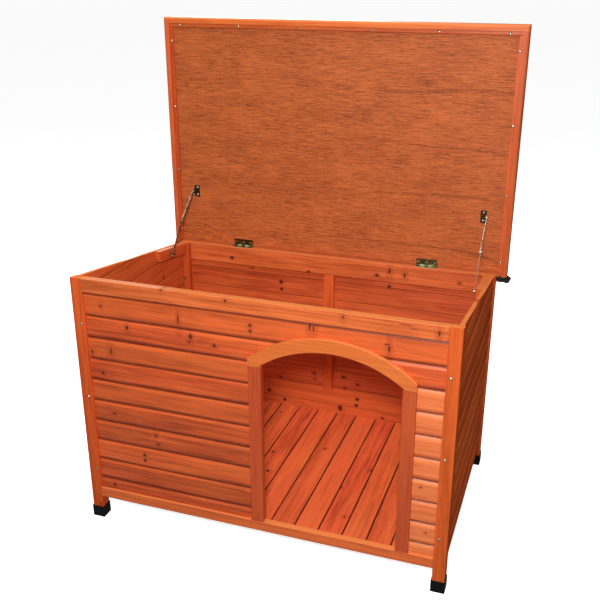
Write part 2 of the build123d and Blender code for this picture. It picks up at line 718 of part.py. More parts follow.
with BuildPart() as hinge_pins:
    for sign in SIDES.values():
        with BuildSketch(Plane.YZ.offset(sign * HINGE_FROM_CENTRE - LEAF_WIDTH / 2)):
            with Locations((hinge_y, HINGE_HEIGHT)):
                Circle(PIN_RADIUS)
        extrude(amount=LEAF_WIDTH)
save(hinge_pins, "hinge_pins")

# ---- Folding stays ----


def behind_front(pivot):
    """Pivot as a point of the YZ plane."""
    return (FRONT + pivot[0], pivot[1])


def stay_arm(sign, from_side, start, end):
    """Flat bar with round ends and a rivet hole at each end."""
    length = hypot(end[0] - start[0], end[1] - start[1])
    middle = ((start[0] + end[0]) / 2, (start[1] + end[1]) / 2, 0)
    turn = degrees(atan2(end[1] - start[1], end[0] - start[0]))
    with BuildPart() as arm:
        with BuildSketch(Plane.YZ.offset(inboard(sign, from_side))):
            with Locations(Location(middle, (0, 0, turn))):
                SlotCenterToCenter(length, ARM_WIDTH)
            with Locations(start, end):
                Circle(RIVET_RADIUS + RIVET_PLAY, mode=Mode.SUBTRACT)
        extrude(amount=-sign * ARM_THICKNESS)
    return arm


def rivet(sign, from_side, to_side, centre):
    """Rivet across two plates, with a flat round head at each end."""
    with BuildPart() as fastener:
        for start, end, radius in (
            (from_side - RIVET_HEAD_HEIGHT, from_side, RIVET_HEAD_RADIUS),
            (from_side, to_side, RIVET_RADIUS),
            (to_side, to_side + RIVET_HEAD_HEIGHT, RIVET_HEAD_RADIUS),
        ):
            with BuildSketch(Plane.YZ.offset(inboard(sign, start))):
                with Locations(centre):
                    Circle(radius)
            extrude(amount=-sign * (end - start))
    return fastener


lower_pivot = behind_front(STAY_LOWER_PIVOT)
elbow = behind_front(STAY_ELBOW)
upper_pivot = behind_front(STAY_UPPER_PIVOT)
cleat_face = batten_from_side + CLEAT_WIDTH
lower_ear_outer = LOWER_ARM_FROM_SIDE - EAR_PLAY - BRACKET_THICKNESS
lower_rivets = []
upper_rivets = []

for side, sign in SIDES.items():
    foot_start = lower_pivot[0] + FOOT_BEND
    foot_end = foot_start + FOOT_LENGTH
    low, high = lower_pivot[1] - EAR_RADIUS, lower_pivot[1] + EAR_RADIUS
    with BuildPart() as lower_bracket:
        with BuildSketch(Plane.YZ.offset(inboard(sign, cleat_face))):
            rectangle((foot_start, foot_end), (low, high))
            with Locations(*[(foot_start + reach, lower_pivot[1]) for reach in FOOT_SCREWS]):
                Circle(screw_hole_radius, mode=Mode.SUBTRACT)
        extrude(amount=-sign * BRACKET_THICKNESS)
        with BuildSketch(Plane.YZ.offset(inboard(sign, cleat_face))):
            rectangle((foot_start, foot_start + BRACKET_THICKNESS), (low, high))
        extrude(amount=-sign * (lower_ear_outer + BRACKET_THICKNESS - cleat_face))
        with BuildSketch(Plane.YZ.offset(inboard(sign, lower_ear_outer))):
            rectangle((lower_pivot[0], foot_start + BRACKET_THICKNESS), (low, high))
            with Locations(lower_pivot):
                Circle(EAR_RADIUS)
                Circle(RIVET_RADIUS + PIN_PLAY, mode=Mode.SUBTRACT)
        extrude(amount=-sign * BRACKET_THICKNESS)
    save(lower_bracket, f"stay_lower_bracket_{side}")

    with BuildPart() as upper_bracket:
        foot_x = inboard(sign, upper_bracket_from_side)
        with BuildSketch(lid_plane):
            rectangle(
                (foot_x, inboard(sign, upper_bracket_from_side + UPPER_FOOT_WIDTH)),
                (upper_pivot_up - UPPER_FOOT_LENGTH / 2, upper_pivot_up + UPPER_FOOT_LENGTH / 2),
            )
            with Locations(*[place for place in foot_screws if place[0] * sign > 0]):
                Circle(screw_hole_radius, mode=Mode.SUBTRACT)
        extrude(amount=BRACKET_THICKNESS)
        with BuildSketch(Plane.YZ.offset(foot_x)):
            rectangle(
                (upper_pivot[0], lining_y),
                (upper_pivot[1] - EAR_RADIUS, upper_pivot[1] + EAR_RADIUS),
            )
            with Locations(upper_pivot):
                Circle(EAR_RADIUS)
                Circle(RIVET_RADIUS + PIN_PLAY, mode=Mode.SUBTRACT)
        extrude(amount=-sign * BRACKET_THICKNESS)
    save(upper_bracket, f"stay_upper_bracket_{side}")

    save(stay_arm(sign, LOWER_ARM_FROM_SIDE, lower_pivot, elbow), f"stay_lower_arm_{side}")
    save(stay_arm(sign, UPPER_ARM_FROM_SIDE, elbow, upper_pivot), f"stay_upper_arm_{side}")

    with BuildPart() as elbow_rivet:
        with BuildSketch(Plane.YZ.offset(inboard(sign, LOWER_ARM_FROM_SIDE - RIVET_HEAD_HEIGHT))):
            with Locations(elbow):
                Circle(RIVET_HEAD_RADIUS)
        extrude(amount=-sign * RIVET_HEAD_HEIGHT)
        with BuildSketch(Plane.YZ.offset(inboard(sign, LOWER_ARM_FROM_SIDE))):
            with Locations(elbow):
                Circle(RIVET_RADIUS)
        extrude(amount=-sign * ARM_THICKNESS)
    save(elbow_rivet, f"stay_elbow_rivet_{side}")

    lower_rivets.append(rivet(sign, lower_ear_outer, LOWER_ARM_FROM_SIDE + ARM_THICKNESS, lower_pivot))
    upper_ear_inner = upper_bracket_from_side + BRACKET_THICKNESS
    upper_rivets.append(rivet(sign, UPPER_ARM_FROM_SIDE, upper_ear_inner, upper_pivot))

for name, rivets in (("stay_lower_pivot_rivets", lower_rivets), ("stay_upper_pivot_rivets", upper_rivets)):
    with BuildPart() as rivet_pair:
        for fastener in rivets:
            add(fastener.part)
    save(rivet_pair, name)

# ---- Screws ----

batten_screw = headed_pin(SCREW_RADIUS, batten_screw_length, SCREW_HEAD_RADIUS, SCREW_HEAD_HEIGHT)
bracket_screw = headed_pin(SCREW_RADIUS, SCREW_REACH, SCREW_HEAD_RADIUS, SCREW_HEAD_HEIGHT)
leaf_screw = countersunk_screw(SCREW_REACH)


def on_plane(plane, height, centres):
    """Locations that stand on a plane, at a height over it."""
    return [plane.offset(height).location * Location((x, y, 0)) for x, y in centres]


with BuildPart() as lid_screws:
    with Locations(*on_plane(lid_plane, LID_BATTEN_THICKNESS, batten_screws)):
        add(batten_screw.part)
    with Locations(*on_plane(lid_plane, LEAF_THICKNESS, leaf_screws)):
        add(leaf_screw.part)
    with Locations(*on_plane(lid_plane, BRACKET_THICKNESS, foot_screws)):
        add(bracket_screw.part)
save(lid_screws, "lid_screws")

with BuildPart() as cabinet_screws:
    with Locations(*on_plane(leaf_plane, LEAF_THICKNESS, rail_leaf_screws)):
        add(leaf_screw.part)
    for sign in SIDES.values():
        foot_face = Plane(
            origin=(inboard(sign, cleat_face + BRACKET_THICKNESS), 0, 0),
            x_dir=(0, 1, 0),
            z_dir=(-sign, 0, 0),
        )
        centres = [(lower_pivot[0] + FOOT_BEND + reach, -sign * lower_pivot[1]) for reach in FOOT_SCREWS]
        with Locations(*on_plane(foot_face, 0, centres)):
            add(bracket_screw.part)
save(cabinet_screws, "cabinet_screws")
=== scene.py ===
"""Looks of a wooden dog kennel with an open lid: glazed pine, plywood, felt, caps and steel."""

from math import cos, pi, radians, sin

import bmesh
import bpy
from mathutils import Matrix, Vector


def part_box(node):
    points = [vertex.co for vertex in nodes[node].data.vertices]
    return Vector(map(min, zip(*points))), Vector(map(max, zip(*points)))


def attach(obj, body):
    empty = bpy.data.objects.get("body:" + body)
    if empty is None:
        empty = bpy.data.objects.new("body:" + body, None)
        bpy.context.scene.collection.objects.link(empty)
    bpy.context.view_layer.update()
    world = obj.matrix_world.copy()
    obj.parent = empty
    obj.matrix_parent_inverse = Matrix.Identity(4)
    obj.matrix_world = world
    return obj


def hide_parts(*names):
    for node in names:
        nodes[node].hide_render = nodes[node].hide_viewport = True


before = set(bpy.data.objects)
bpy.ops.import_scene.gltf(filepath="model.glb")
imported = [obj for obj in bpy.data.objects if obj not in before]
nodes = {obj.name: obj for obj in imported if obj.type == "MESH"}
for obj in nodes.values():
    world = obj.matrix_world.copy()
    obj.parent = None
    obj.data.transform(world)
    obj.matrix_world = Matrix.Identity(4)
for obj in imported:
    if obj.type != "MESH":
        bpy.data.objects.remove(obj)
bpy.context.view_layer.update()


# ---- Shader helper ----


def srgb(red, green, blue):
    """Linear colour from 0-255 display values."""
    def linear(value):
        value /= 255
        return value / 12.92 if value <= 0.04045 else ((value + 0.055) / 1.055) ** 2.4
    return (linear(red), linear(green), linear(blue), 1.0)


class Shader:
    """One material, with short calls that add a node and give back its output."""

    def __init__(self, name):
        self.material = bpy.data.materials.new(name)
        self.material.use_nodes = True
        self.tree = self.material.node_tree
        self.surface = self.tree.nodes["Principled BSDF"].inputs

    def put(self, socket, value):
        """Link an output to the socket, or set the socket's own value."""
        if isinstance(value, bpy.types.NodeSocket):
            self.tree.links.new(value, socket)
        else:
            socket.default_value = value

    def node(self, kind, inputs=None, output=0, **settings):
        node = self.tree.nodes.new("ShaderNode" + kind)
        for key, value in settings.items():
            setattr(node, key, value)
        for socket, value in (inputs or {}).items():
            self.put(node.inputs[socket], value)
        return node.outputs[output]

    def math(self, operation, *values):
        return self.node("Math", dict(enumerate(values)), operation=operation)

    def add(self, first, *others):
        total = first
        for other in others:
            total = self.math("ADD", total, other)
        return total

    def subtract(self, a, b):
        return self.math("SUBTRACT", a, b)

    def times(self, a, b):
        return self.math("MULTIPLY", a, b)

    def divide(self, a, b):
        return self.math("DIVIDE", a, b)

    def length(self, a, b):
        """Length of the vector with these two parts."""
        return self.math("SQRT", self.add(self.times(a, a), self.times(b, b)))

    def swing(self, value, size):
        """A value between 0 and 1 as a change of that size about zero."""
        return self.times(self.subtract(value, 0.5), size)

    def limit(self, value):
        """The value kept between 0 and 1."""
        return self.math("MINIMUM", self.math("MAXIMUM", value, 0.0), 1.0)

    def vector(self, x, y, z=0.0):
        return self.node("CombineXYZ", {0: x, 1: y, 2: z})

    def stretched(self, coordinates, scales):
        """Point of a pattern, with each coordinate times its own scale."""
        return self.vector(*[self.times(value, scale) for value, scale in zip(coordinates, scales)])

    def scaled(self, point, scales):
        return self.node("VectorMath", {0: point, 1: scales}, operation="MULTIPLY")

    def parts(self, vector):
        node = self.tree.nodes.new("ShaderNodeSeparateXYZ")
        self.put(node.inputs[0], vector)
        return tuple(node.outputs)

    def noise(self, vector, detail=2.0, roughness=0.5):
        inputs = {"Vector": vector, "Scale": 1.0, "Detail": detail, "Roughness": roughness}
        return self.node("TexNoise", inputs)

    def cells(self, vector, scale=1.0, dimensions="3D"):
        """Distance to the nearest cell's point, and three random numbers of that cell."""
        node = self.tree.nodes.new("ShaderNodeTexVoronoi")
        node.voronoi_dimensions = dimensions
        self.put(node.inputs["Vector"], vector)
        node.inputs["Scale"].default_value = scale
        return node.outputs["Distance"], self.parts(node.outputs["Color"])

    def step(self, value, low, high, out_low=0.0, out_high=1.0):
        inputs = {"Value": value, 1: low, 2: high, 3: out_low, 4: out_high}
        return self.node("MapRange", inputs, interpolation_type="SMOOTHSTEP")

    def mix(self, factor, a, b):
        return self.node("Mix", {0: factor, 6: a, 7: b}, output=2, data_type="RGBA")

    def bump(self, height, distance, strength):
        inputs = {"Height": height, "Distance": distance, "Strength": strength}
        self.put(self.surface["Normal"], self.node("Bump", inputs))

    def object_point(self):
        return self.node("TexCoord", output="Object")

    def own(self, name, output):
        """A custom property of the object that wears the material."""
        return self.node("Attribute", attribute_type="OBJECT", attribute_name=name, output=output)


# ---- Timber ----

LIGHT = srgb(230, 98, 46)
DARK = srgb(140, 40, 17)
HONEY = srgb(226, 118, 50)
KNOT_COLOUR = srgb(58, 22, 10)
TOP_FACE_HIGHLIGHT_COLOUR = srgb(244, 158, 88)
GROOVE_DIRT_AND_SHADE_COLOUR = srgb(62, 17, 7)

# Random shifts between boards, in metres: along, across and into the log.
ALONG_SHIFT = 30.0
ACROSS_SHIFT = 0.05
PITH_DEPTH = 0.035
PITH_DEPTH_SPREAD = 0.05

RINGS_PER_METRE = 150
RING_WANDER = 5.0
RING_RIPPLE = 0.9
RING_SWIRL = 1.3

KNOT_CELLS_PER_METRE = 8.0
KNOT_RADIUS = 0.003
KNOT_RADIUS_SPREAD = 0.0045
KNOT_SWIRL_RADIUS = 0.022
PLACED_SWIRL_RADIUS = 0.018

# Waves per metre of each pattern: along, across and into the board.
WANDER_SCALE = (1.6, 5.0, 1.0)
RIPPLE_SCALE = (9.0, 40.0, 1.0)
FIBRE_SCALE = (7.0, 230.0, 230.0)
STREAK_SCALE = (2.2, 75.0, 75.0)
CLOUD_SCALE = (5.0, 14.0, 14.0)
GOLD_SCALE = (3.0, 22.0, 1.0)

# How far each pattern darkens the stain.
LATE_WOOD_SHADE = 0.16
FIBRE_SHADE = 1.5
STREAK_SHADE = 1.1
CLOUD_SHADE = 0.8
# Painted highlight on faces that look up (a negative value lightens) and painted shade on faces that
# look down.
UPWARD_PAINTED_HIGHLIGHT = -0.35
DOWNWARD_PAINTED_SHADE = 0.6

COAT_SHARE = 0.2
COAT_ROUGHNESS = 0.28
MEAN_ROUGHNESS = 0.42


def knot_masks(shader, u, across, number, seed, face, knots, knot_share):
    """Masks of the knots and of the grain bent round them: random ones, then placed ones."""
    cell_point = shader.vector(
        shader.add(shader.times(u, KNOT_CELLS_PER_METRE), shader.times(seed, 3.1)),
        shader.add(shader.times(across, KNOT_CELLS_PER_METRE), shader.times(number, 7.3)),
    )
    cell_distance, chance = shader.cells(cell_point, dimensions="2D")
    distance = shader.divide(cell_distance, KNOT_CELLS_PER_METRE)
    chosen = shader.math("LESS_THAN", chance[0], knot_share)
    radius = shader.add(shader.times(chance[1], KNOT_RADIUS_SPREAD), KNOT_RADIUS)
    core = shader.times(chosen, shader.step(shader.divide(distance, radius), 1.15, 0.6))
    swirl = shader.times(chosen, shader.step(distance, KNOT_SWIRL_RADIUS, 0.0))
    for place_along, place_across, placed_radius, stretch in knots:
        offset_along = shader.subtract(face[0], place_along)
        offset_across = shader.divide(shader.subtract(face[1], place_across), stretch)
        distance = shader.length(offset_along, offset_across)
        placed_core = shader.step(distance, placed_radius * 1.15, placed_radius * 0.5)
        core = shader.math("MAXIMUM", core, placed_core)
        swirl = shader.math("MAXIMUM", swirl, shader.step(distance, PLACED_SWIRL_RADIUS, 0.0))
    return core, swirl


def late_wood(shader, u, v, w, seed, swirl):
    """Mask of the dark part of each growth ring. The rings are cylinders round a wandering pith."""
    wander = shader.noise(shader.stretched((u, v, seed), WANDER_SCALE))
    ripple = shader.noise(shader.stretched((u, v, w), RIPPLE_SCALE), 3.0)
    rings = shader.add(
        shader.times(shader.length(v, w), RINGS_PER_METRE),
        shader.times(wander, RING_WANDER),
        shader.times(ripple, RING_RIPPLE),
        shader.times(swirl, RING_SWIRL),
    )
    ring = shader.math("FRACT", rings)
    return shader.times(shader.step(ring, 0.25, 0.85), shader.step(ring, 1.0, 0.88))


def row_tone(shader, number, tones):
    """The tone listed for a row of boards, where number 0 is the lowest row."""
    ramp = shader.tree.nodes.new("ShaderNodeValToRGB")
    ramp.color_ramp.interpolation = "CONSTANT"
    stops = ramp.color_ramp.elements
    for index, tone in enumerate(tones):
        stop = stops[0] if index == 0 else stops.new(index / len(tones))
        stop.color = (tone, tone, tone, 1.0)
    stops.remove(stops[-1])
    shader.put(ramp.inputs[0], shader.divide(shader.add(number, 0.5), float(len(tones))))
    return ramp.outputs[0]


def timber(name, grain, light=LIGHT, dark=DARK, honey=HONEY, boards=None, tones=None, knots=(),
           knot_share=0.16, tone_spread=0.35, groove=0.0, contrast=1.0, depth=0.36, top_face_highlight=0.4,
           gloss=0.3):
    """Glazed pine. grain names the axes along, across and into the boards; boards is (first, pitch)."""
    shader = Shader(name)
    axes = ["XYZ".index(letter) for letter in grain]
    absolute = shader.parts(shader.object_point())
    middle = shader.parts(shader.own("middle", "Vector"))
    seed = shader.own("seed", "Fac")
    along, across, into = [shader.subtract(absolute[axis], middle[axis]) for axis in axes]
    face = (absolute[axes[0]], absolute[axes[1]])
    number = 0.0
    if boards:
        first, pitch = boards
        place = shader.divide(shader.subtract(face[1], first), pitch)
        number = shader.math("FLOOR", place)
        within = shader.math("FRACT", place)
        across = shader.swing(within, pitch)
    white = shader.node(
        "TexWhiteNoise",
        {"Vector": shader.vector(shader.add(number, 0.31), seed, 0.7)},
        output="Color",
        noise_dimensions="3D",
    )
    chance = shader.parts(white)

    u = shader.add(along, shader.times(chance[0], ALONG_SHIFT))
    v = shader.add(across, shader.swing(chance[1], ACROSS_SHIFT))
    w = shader.add(into, shader.add(shader.times(chance[2], PITH_DEPTH_SPREAD), PITH_DEPTH))
    core, swirl = knot_masks(shader, u, across, number, seed, face, knots, knot_share)
    late = late_wood(shader, u, v, w, seed, swirl)
    fibre = shader.noise(shader.stretched((u, v, w), FIBRE_SCALE), 4.0, 0.65)
    streak = shader.noise(shader.stretched((u, v, w), STREAK_SCALE), 2.0, 0.55)
    cloud = shader.noise(shader.stretched((u, v, w), CLOUD_SCALE), 3.0, 0.6)
    gold = shader.step(shader.noise(shader.stretched((u, v, w), GOLD_SCALE), 2.0), 0.5, 0.72)
    board_tone = row_tone(shader, number, tones) if tones else shader.swing(chance[1], tone_spread)

    # Painted light: faces that look up are painted lighter as a highlight, and faces that look down are
    # painted darker as shade.
    upward = shader.parts(shader.node("NewGeometry", output="Normal"))[2]
    worn_and_painted_highlight = shader.step(upward, 0.05, 0.6, 0.0, UPWARD_PAINTED_HIGHLIGHT)
    painted_underside_shade = shader.step(upward, -0.05, -0.5, 0.0, DOWNWARD_PAINTED_SHADE)
    shade = shader.add(
        shader.times(late, LATE_WOOD_SHADE * contrast),
        shader.add(worn_and_painted_highlight, painted_underside_shade),
        shader.swing(fibre, FIBRE_SHADE * contrast),
        shader.swing(streak, STREAK_SHADE * contrast),
        shader.swing(cloud, CLOUD_SHADE * contrast),
        shader.add(board_tone, depth),
    )
    colour = shader.mix(shader.limit(shade), light, dark)
    yellowing = shader.add(shader.times(gold, 0.2), shader.times(chance[2], 0.25))
    colour = shader.mix(yellowing, colour, honey)
    colour = shader.mix(shader.times(swirl, 0.35), colour, dark)
    colour = shader.mix(shader.times(core, 0.9), colour, KNOT_COLOUR)
    # Painted highlight: faces that look straight up are painted paler.
    colour = shader.mix(shader.step(upward, 0.7, 0.95, 0.0, top_face_highlight), colour, TOP_FACE_HIGHLIGHT_COLOUR)
    # Board edges next to the joints are darkened: partly dirt in the grooves, partly painted shade in
    # them.
    if groove:
        from_middle = shader.math("ABSOLUTE", shader.subtract(within, 0.5))
        groove_dirt_and_shade = shader.step(from_middle, 0.5 - groove, 0.5)
        colour = shader.mix(shader.times(groove_dirt_and_shade, 0.75), colour, GROOVE_DIRT_AND_SHADE_COLOUR)
    shader.put(shader.surface["Base Color"], colour)

    roughness = shader.add(shader.swing(fibre, 0.25), MEAN_ROUGHNESS)
    shader.put(shader.surface["Roughness"], shader.add(roughness, shader.times(core, 0.15)))
    shader.surface["Specular IOR Level"].default_value = gloss
    shader.surface["Coat Weight"].default_value = COAT_SHARE * gloss
    shader.surface["Coat Roughness"].default_value = COAT_ROUGHNESS
    height = shader.add(
        shader.times(fibre, 0.55), shader.times(late, -0.35), shader.times(core, -0.6)
    )
    shader.bump(height, 0.0006, 0.8)
    return shader.material


# First joint and pitch of each set of boards, in metres.
WALL_PITCH = 0.0668
FRONT_ROWS = (0.0726, WALL_PITCH)
BACK_ROWS = (0.0664, WALL_PITCH)
FLOOR_ROWS = (-0.5287, 0.0705)
DECK_ROWS = (-0.35, 0.1)

# Tone of each front row, from the lowest up.
FRONT_TONES = (0.40, 0.36, 0.10, 0.46, 0.32, 0.2, 0.24, 0.26, 0.14, 0.0, 0.2)

# Placed knots: place along, height, radius, and how many times as tall as wide they are.
FRONT_KNOTS = (
    (-0.220, 0.703, 0.003, 4.5), (-0.010, 0.715, 0.005, 1.0), (-0.010, 0.699, 0.005, 1.0),
    (0.155, 0.735, 0.003, 4.0), (0.165, 0.732, 0.002, 5.0), (0.358, 0.716, 0.008, 0.3),
    (0.364, 0.704, 0.003, 4.0), (-0.380, 0.655, 0.005, 1.5), (-0.185, 0.657, 0.006, 1.5),
    (-0.190, 0.640, 0.004, 1.0), (-0.115, 0.640, 0.005, 1.2), (-0.500, 0.563, 0.004, 1.5),
    (-0.438, 0.573, 0.003, 3.0), (-0.470, 0.500, 0.005, 1.0), (-0.445, 0.372, 0.007, 0.5),
    (-0.313, 0.322, 0.004, 1.0), (-0.308, 0.294, 0.005, 0.9), (-0.355, 0.249, 0.006, 0.9),
    (-0.355, 0.231, 0.006, 0.9), (-0.466, 0.123, 0.006, 0.8), (-0.458, 0.710, 0.004, 1.0),
)
FRONT_RIGHT_KNOTS = ((0.463, 0.319, 0.0035, 1.0), (0.485, 0.180, 0.003, 1.0))
RAIL_KNOTS = (
    (-0.262, 0.786, 0.004, 1.0), (-0.075, 0.779, 0.004, 1.0), (0.245, 0.777, 0.003, 1.4),
    (0.405, 0.778, 0.020, 0.07), (0.425, 0.770, 0.012, 0.1), (0.487, 0.767, 0.0032, 2.6),
)
BACK_RAIL_KNOTS = (
    (-0.350, 0.648, 0.008, 0.8), (0.165, 0.645, 0.008, 0.8), (0.435, 0.650, 0.005, 0.8),
    (-0.071, 0.630, 0.007, 0.6), (0.207, 0.664, 0.004, 2.5), (0.257, 0.656, 0.004, 2.5),
)
BACK_KNOTS = (
    (-0.175, 0.575, 0.008, 1.0), (-0.174, 0.549, 0.007, 0.8), (-0.282, 0.613, 0.006, 0.6),
    (0.205, 0.605, 0.006, 1.3), (-0.053, 0.244, 0.006, 1.0), (0.055, 0.246, 0.007, 1.0),
    (-0.050, 0.221, 0.004, 1.0), (0.062, 0.205, 0.005, 1.0), (-0.225, 0.148, 0.008, 1.0),
    (0.107, 0.167, 0.008, 0.9), (0.104, 0.143, 0.008, 0.9), (-0.165, 0.120, 0.008, 1.0),
    (0.045, 0.122, 0.009, 1.4), (0.200, 0.109, 0.006, 0.8), (-0.181, 0.209, 0.005, 0.8),
)

wood = {
    "front": timber(
        "front_boards_pine", "XZY",
        boards=FRONT_ROWS, tones=FRONT_TONES, knots=FRONT_KNOTS, knot_share=0.0,
        groove=0.07, depth=0.16, gloss=0.35,
    ),
    # Boards right of the door: a paler copy of the front boards' stain, partly their own tone and partly
    # a painted haze of light.
    "front_right": timber(
        "front_right_boards_paler_painted_haze", "XZY", srgb(240, 126, 70), srgb(186, 74, 36), srgb(240, 148, 82),
        boards=FRONT_ROWS, knots=FRONT_RIGHT_KNOTS, knot_share=0.0, tone_spread=0.2,
        groove=0.06, depth=0.2, gloss=0.35,
    ),
    "side": timber(
        "side_boards_pine", "YZX", srgb(226, 106, 56), srgb(146, 54, 28), srgb(222, 120, 60),
        boards=FRONT_ROWS, groove=0.03, contrast=0.7, gloss=0.0,
    ),
    "back": timber(
        "back_boards_pine", "XZY", srgb(222, 100, 54),
        boards=BACK_ROWS, knots=BACK_KNOTS, knot_share=0.05, groove=0.03, depth=0.28,
    ),
    "rail": timber(
        "front_rail_pine", "XZY", srgb(236, 118, 62), knots=RAIL_KNOTS, knot_share=0.0, depth=0.2,
    ),
    "back_rail": timber(
        "back_rail_pine", "XZY", srgb(236, 116, 62), knots=BACK_RAIL_KNOTS, knot_share=0.0,
    ),
    "upright": timber(
        "upright_pine", "ZXY", srgb(226, 100, 50), srgb(150, 46, 20),
        knot_share=0.06, contrast=0.8, gloss=0.0,
    ),
    "across": timber(
        "cross_pine", "XZY", srgb(230, 108, 56), knot_share=0.05, contrast=0.8,
    ),
    "cleat": timber(
        "cleat_pine", "YZX", srgb(220, 96, 50), knot_share=0.0, contrast=0.8,
    ),
    "jamb": timber(
        "jamb_pine", "ZXY", srgb(206, 80, 42), srgb(142, 42, 18), srgb(216, 106, 48),
        knot_share=0.0, contrast=0.7,
    ),
    "arch": timber(
        "arch_pine", "XZY", srgb(230, 116, 54), srgb(184, 72, 28), srgb(232, 140, 62),
        knot_share=0.0, contrast=0.6,
    ),
    "floor": timber(
        "floor_pine", "YXZ", srgb(228, 94, 54), srgb(156, 42, 24), srgb(236, 132, 62),
        boards=FLOOR_ROWS, knot_share=0.3, tone_spread=0.5,
        groove=0.07, contrast=1.5, depth=0.4, top_face_highlight=0.0,
    ),
    "deck": timber(
        "deck_pine", "XZY", srgb(206, 104, 56), srgb(142, 58, 28), boards=DECK_ROWS,
    ),
    "lid_across": timber(
        "lid_front_pine", "XZY", srgb(244, 126, 60), srgb(176, 62, 26),
        knot_share=0.05, contrast=0.8,
    ),
    "lid_upright": timber(
        "lid_side_pine", "ZYX", srgb(236, 112, 58), srgb(160, 52, 24),
        knot_share=0.06, contrast=0.8,
    ),
}


# ---- Other materials ----


def plywood():
    """Brown-orange rotary-cut veneer: short dark pores along X and a faint wavy figure."""
    shader = Shader("lining_plywood")
    x, _, z = shader.parts(shader.object_point())
    pores = shader.noise(shader.stretched((x, z, 0.0), (16.0, 270.0, 1.0)), 5.0, 0.75)
    pores = shader.step(pores, 0.36, 0.68)
    specks = shader.noise(shader.stretched((x, z, 4.0), (60.0, 330.0, 1.0)), 3.0, 0.7)
    specks = shader.step(specks, 0.5, 0.7)
    warp = shader.noise(shader.stretched((x, z, 2.0), (1.0, 1.2, 1.0)), 1.0)
    figure = shader.math("FRACT", shader.add(shader.times(warp, 3.0), shader.times(z, 6.0)))
    line = shader.times(shader.step(figure, 0.92, 0.98), shader.step(figure, 1.0, 0.98))
    line_strength = shader.step(x, -0.15, 0.35, 0.05, 0.3)
    cloud = shader.noise(shader.stretched((x, z, 7.0), (5.0, 16.0, 1.0)), 3.0, 0.6)
    shade = shader.add(
        shader.times(pores, 0.64),
        shader.times(specks, 0.42),
        shader.times(line, line_strength),
        shader.swing(cloud, 0.7),
    )
    colour = shader.mix(shader.limit(shade), srgb(212, 108, 52), srgb(98, 36, 10))
    gold = shader.noise(shader.stretched((x, z, 11.0), (30.0, 300.0, 1.0)))
    gold = shader.step(gold, 0.55, 0.75)
    colour = shader.mix(shader.times(gold, 0.45), colour, srgb(220, 136, 72))
    shader.put(shader.surface["Base Color"], colour)
    shader.surface["Roughness"].default_value = 0.6
    shader.surface["Specular IOR Level"].default_value = 0.3
    height = shader.add(shader.times(pores, -0.6), shader.times(specks, -0.3))
    shader.bump(height, 0.0004, 0.7)
    return shader.material


def moulded_plastic():
    """Black moulded plastic with a fine spark-eroded texture and scuffed patches."""
    shader = Shader("cap_plastic")
    point = shader.object_point()
    grain = shader.noise(shader.scaled(point, (900.0,) * 3), 2.0)
    scuff = shader.noise(shader.scaled(point, (60.0,) * 3), 4.0, 0.65)
    worn_and_painted_highlight = shader.step(scuff, 0.55, 0.75)
    shader.put(shader.surface["Base Color"], shader.mix(worn_and_painted_highlight, srgb(4, 4, 4), srgb(18, 17, 16)))
    shader.surface["Specular IOR Level"].default_value = 0.25
    shader.put(shader.surface["Roughness"], shader.add(shader.times(worn_and_painted_highlight, 0.2), 0.48))
    shader.bump(grain, 0.0003, 0.5)
    return shader.material


def mineral_felt():
    """Black roofing felt with mineral grit and pale dust."""
    shader = Shader("roofing_felt")
    point = shader.object_point()
    grain = shader.cells(point, scale=700.0)[1][0]
    patches = shader.noise(shader.scaled(point, (9.0,) * 3), 5.0, 0.65)
    colour = shader.mix(grain, srgb(14, 14, 14), srgb(52, 51, 50))
    colour = shader.mix(shader.step(patches, 0.52, 0.8, 0.0, 0.35), colour, srgb(72, 70, 66))
    shader.put(shader.surface["Base Color"], colour)
    shader.surface["Roughness"].default_value = 0.9
    shader.surface["Specular IOR Level"].default_value = 0.2
    shader.bump(shader.add(grain, shader.times(patches, 2.0)), 0.0008, 0.8)
    return shader.material


def plated_metal(name, clean, tarnish, spots):
    """Zinc-plated steel with rolling marks, tarnish clouds and a few dark spots."""
    shader = Shader(name)
    point = shader.object_point()
    cloud = shader.noise(shader.scaled(point, (70.0,) * 3), 4.0, 0.6)
    marks = shader.noise(shader.scaled(point, (1500.0, 120.0, 1500.0)))
    pits = shader.noise(shader.scaled(point, (260.0,) * 3), 3.0)
    dull = shader.step(cloud, 0.42, 0.68)
    colour = shader.mix(dull, clean, tarnish)
    colour = shader.mix(shader.step(pits, 0.62, 0.72, 0.0, spots), colour, srgb(46, 40, 28))
    shader.put(shader.surface["Base Color"], colour)
    shader.surface["Metallic"].default_value = 1.0
    shader.put(shader.surface["Roughness"], shader.add(shader.times(dull, 0.2), 0.26))
    shader.bump(marks, 0.0001, 0.4)
    return shader.material


lining_material = plywood()
cap_material = moulded_plastic()
felt_material = mineral_felt()
yellow_zinc = plated_metal("yellow_zinc", srgb(118, 112, 72), srgb(56, 54, 30), 0.7)
pale_zinc = plated_metal("pale_zinc", srgb(206, 206, 170), srgb(134, 134, 92), 0.5)
bright_zinc = plated_metal("bright_zinc", srgb(226, 226, 220), srgb(166, 164, 150), 0.3)
arm_zinc = plated_metal("arm_zinc", srgb(190, 184, 168), srgb(116, 106, 88), 0.6)

